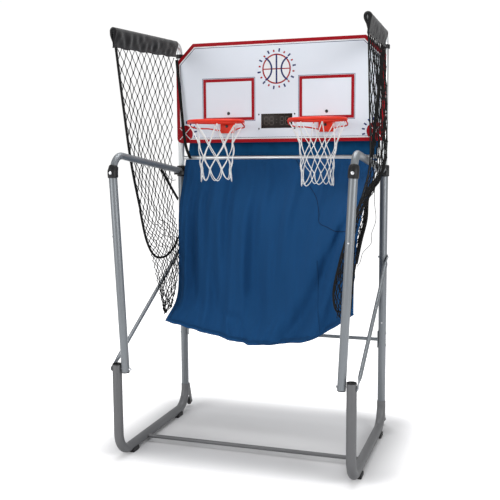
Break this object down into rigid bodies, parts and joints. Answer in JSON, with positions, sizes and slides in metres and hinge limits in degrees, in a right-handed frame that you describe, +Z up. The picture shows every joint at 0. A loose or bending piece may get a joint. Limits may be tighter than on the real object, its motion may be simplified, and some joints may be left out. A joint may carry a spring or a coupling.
{
  "type": "basketball hoop machine",
  "caption": "Folding indoor basketball shooting game with twin hoops on one board, a scoring display, a cloth ball return, side nets on swivelling arms and tilting front frames.",
  "frame": {"origin": "on the floor, under the middle of the footprint", "axes": "+Z up, +X to the right of a player who faces the board, -Y from the board towards the player"},
  "size_m": [1.2016, 0.9002, 2.0201],
  "materials": {
    "frame_grey": "satin grey powder coat",
    "silver_tube": "bright silver paint",
    "black_plastic": "moulded, slightly grained",
    "foot_rubber": "matt",
    "zinc_bolt": "zinc plated",
    "black_bolt": "black oxide",
    "wheel_plastic": "moulded dark red",
    "hoop_red": "gloss red-orange powder coat",
    "hoop_net_cord": "white braided cord",
    "sleeve_fabric": "black woven polyester",
    "side_net_cord": "black knotted cord and webbing",
    "board_print": "smooth white with red and navy bands",
    "display_lens": "dark smoked acrylic",
    "circuit_board": "green solder mask",
    "button_rubber": "matt",
    "sheet_blue": "blue woven polyester"
  },
  "bodies": {
    "frame": {"base_tube_left": "frame_grey", "base_tube_right": "frame_grey", "stub_cap_left": "black_plastic", "stub_cap_right": "black_plastic", "front_foot_left": "foot_rubber", "front_foot_right": "foot_rubber", "rear_foot_left": "foot_rubber", "rear_foot_right": "foot_rubber", "lower_upright_left": "frame_grey", "lower_upright_right": "frame_grey", "collar_left": "black_plastic", "collar_right": "black_plastic", "upper_upright_left": "silver_tube", "upper_upright_right": "silver_tube", "brace_left": "frame_grey", "brace_right": "frame_grey", "pivot_bolt_left": "zinc_bolt", "pivot_bolt_right": "zinc_bolt", "wheel_bracket_left": "frame_grey", "wheel_bracket_right": "frame_grey", "hoop_left": "hoop_red", "hoop_right": "hoop_red", "hoop_sensor_left": "black_plastic", "hoop_sensor_right": "black_plastic", "hoop_bolt_left": "black_bolt", "hoop_bolt_right": "black_bolt", "hoop_net_left": "hoop_net_cord", "hoop_net_right": "hoop_net_cord", "net_arm_clamp_left": "black_plastic", "net_arm_clamp_right": "black_plastic", "side_net_left": "side_net_cord", "side_net_right": "side_net_cord", "floor_crossbar": "frame_grey", "upper_crossbar": "silver_tube", "board_rail_lower": "frame_grey", "board_rail_upper": "frame_grey", "rear_crossbar": "frame_grey", "backboard": "board_print", "display_window": "display_lens", "score_housing": "black_plastic", "score_circuit_board": "circuit_board", "return_sheet": "sheet_blue", "rear_curtain": "sheet_blue"},
    "front_frame_left_body": {"leg_left": "frame_grey", "leg_end_cap_left": "black_plastic", "arm_left": "frame_grey", "elbow_left": "black_plastic"},
    "net_arm_left_body": {"net_arm_left": "silver_tube", "net_sleeve_left": "sleeve_fabric"},
    "transport_wheel_left_body": {"wheel_left": "wheel_plastic"},
    "front_frame_right_body": {"leg_right": "frame_grey", "leg_end_cap_right": "black_plastic", "arm_right": "frame_grey", "elbow_right": "black_plastic"},
    "net_arm_right_body": {"net_arm_right": "silver_tube", "net_sleeve_right": "sleeve_fabric"},
    "transport_wheel_right_body": {"wheel_right": "wheel_plastic"},
    "start_button_body": {"start_button": "button_rubber"},
    "mode_button_body": {"mode_button": "button_rubber"}
  },
  "joints": [
    {"name": "front_frame_tilt_left", "type": "hinge", "parent": "frame", "child": "front_frame_left_body", "pos_m": [-0.55, -0.42788, 0.44], "axis": [1, 0, 0], "range_deg": [0, 117]},
    {"name": "front_frame_tilt_right", "type": "hinge", "parent": "frame", "child": "front_frame_right_body", "pos_m": [0.55, -0.42788, 0.44], "axis": [1, 0, 0], "range_deg": [0, 117]},
    {"name": "net_arm_swivel_left", "type": "hinge", "parent": "frame", "child": "net_arm_left_body", "pos_m": [-0.55, 0.37212, 1.945], "axis": [0, 0, 1], "range_deg": [-10, 35]},
    {"name": "net_arm_swivel_right", "type": "hinge", "parent": "frame", "child": "net_arm_right_body", "pos_m": [0.55, 0.37212, 1.945], "axis": [0, 0, -1], "range_deg": [-10, 35]},
    {"name": "transport_wheel_spin_left", "type": "hinge", "parent": "frame", "child": "transport_wheel_left_body", "pos_m": [-0.55, 0.42812, 0.034], "axis": [1, 0, 0], "continuous": true},
    {"name": "transport_wheel_spin_right", "type": "hinge", "parent": "frame", "child": "transport_wheel_right_body", "pos_m": [0.55, 0.42812, 0.034], "axis": [1, 0, 0], "continuous": true},
    {"name": "start_button_press", "type": "slide", "parent": "frame", "child": "start_button_body", "axis": [0, 0, 1], "range_m": [0, 0.0025], "stiffness_N_per_m": 200, "springref_m": -0.0015},
    {"name": "mode_button_press", "type": "slide", "parent": "frame", "child": "mode_button_body", "axis": [0, 0, 1], "range_m": [0, 0.0025], "stiffness_N_per_m": 200, "springref_m": -0.0015}
  ]
}
